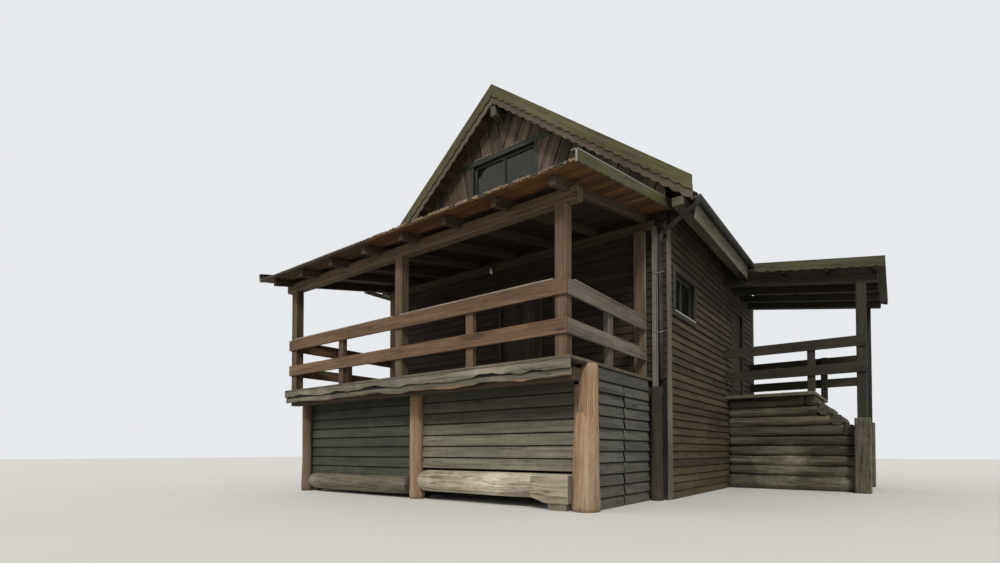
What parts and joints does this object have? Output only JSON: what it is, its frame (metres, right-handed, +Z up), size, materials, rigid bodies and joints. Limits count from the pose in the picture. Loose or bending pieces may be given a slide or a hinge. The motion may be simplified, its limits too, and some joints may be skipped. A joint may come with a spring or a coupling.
{
  "type": "log cabin",
  "caption": "Board-clad timber cabin on log posts, with a steep gable roof, a railed veranda in front and a small roofed entrance at the side.",
  "frame": {"origin": "centre of the foot of the middle front log post, on the lowest ground", "axes": "+Z up, -Y the way the veranda faces, +X towards the side entrance"},
  "size_m": [9.994, 9.7446, 7.9396],
  "materials": {
    "dark_timber": "weathered stain",
    "rail_timber": "weathered stain",
    "weathered_boards": "weathered stain",
    "gable_boards": "weathered stain",
    "fascia_timber": "weathered stain",
    "log_wood": "weathered stain",
    "roof_metal": "dull, weathered",
    "black_metal": "satin",
    "window_paint": "dark green paint",
    "window_glass": "clear"
  },
  "bodies": {
    "root": {"veranda_posts": "dark_timber", "veranda_beams": "dark_timber", "veranda_rafters": "dark_timber", "veranda_roof_boards": "dark_timber", "deck_beams": "dark_timber", "deck_joists": "dark_timber", "deck_floor": "dark_timber", "skirt_posts": "dark_timber", "front_wall": "dark_timber", "right_wall": "dark_timber", "left_wall": "dark_timber", "rear_wall": "dark_timber", "corner_boards": "dark_timber", "doors": "dark_timber", "roof_beams": "dark_timber", "roof_rafters": "dark_timber", "roof_boards": "dark_timber", "eave_boards": "dark_timber", "porch_posts": "dark_timber", "porch_beams": "dark_timber", "porch_roof_joists": "dark_timber", "porch_roof": "dark_timber", "porch_fascias": "dark_timber", "house_floors": "dark_timber", "porch_floor": "dark_timber", "rails": "rail_timber", "rail_caps": "rail_timber", "balusters": "rail_timber", "skirts": "weathered_boards", "gables": "gable_boards", "deck_fascia": "fascia_timber", "veranda_fascias": "fascia_timber", "bargeboards": "fascia_timber", "log_posts": "log_wood", "sill_logs": "log_wood", "log_crib": "log_wood", "log_steps": "log_wood", "porch_bases": "log_wood", "veranda_roof_sheet": "roof_metal", "roof_sheets": "roof_metal", "ridge_cap": "roof_metal", "gutters": "black_metal", "downpipes": "black_metal", "window_frames": "window_paint", "window_trims": "window_paint", "window_glass": "window_glass"}
  },
  "joints": []
}
